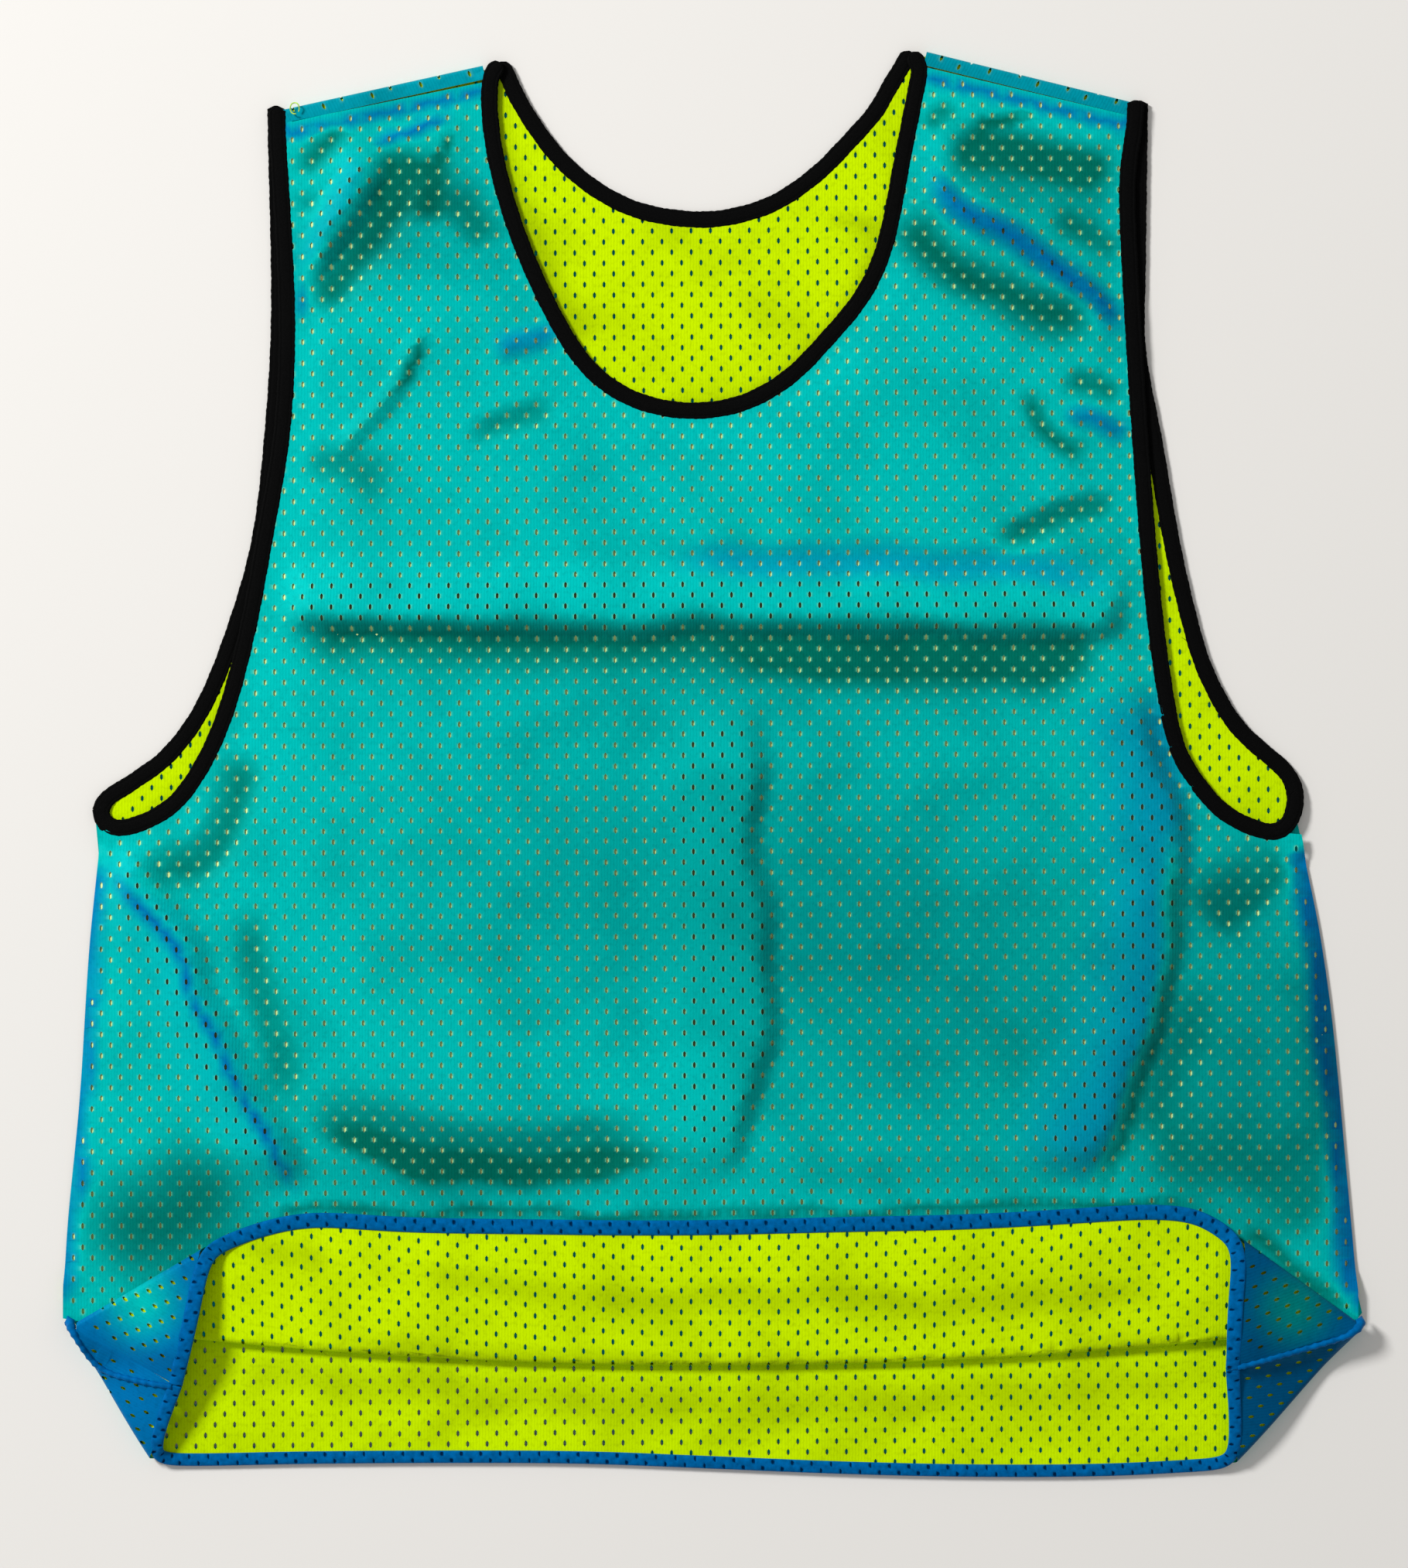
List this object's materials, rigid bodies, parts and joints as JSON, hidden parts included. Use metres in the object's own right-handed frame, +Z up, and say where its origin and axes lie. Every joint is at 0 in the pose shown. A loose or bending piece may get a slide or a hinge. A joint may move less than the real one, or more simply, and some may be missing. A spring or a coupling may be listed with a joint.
{
  "type": "mesh training bib",
  "caption": "Reversible sleeveless mesh training bib laid flat, with bound neck and armholes and the front of its hem turned up.",
  "frame": {"origin": "on the surface that the bib lies on, under the centre of its outline", "axes": "+Y from the hem to the neck, +X across to the right of the laid-out front, +Z up from the surface"},
  "size_m": [0.6355, 0.6984, 0.0111],
  "materials": {
    "outer_mesh": "soft sheen polyester mesh",
    "lining_mesh": "soft sheen polyester mesh",
    "hem_roll": "soft sheen polyester",
    "binding": "matt knitted tape"
  },
  "bodies": {
    "root": {"front_outer": "outer_mesh", "front_lining": "lining_mesh", "back_outer": "outer_mesh", "back_lining": "lining_mesh", "hem_front": "hem_roll", "hem_back": "hem_roll", "neck_binding_front": "binding", "neck_binding_back": "binding", "armhole_binding_left_front": "binding", "armhole_binding_left_back": "binding", "armhole_binding_right_front": "binding", "armhole_binding_right_back": "binding"}
  },
  "joints": []
}
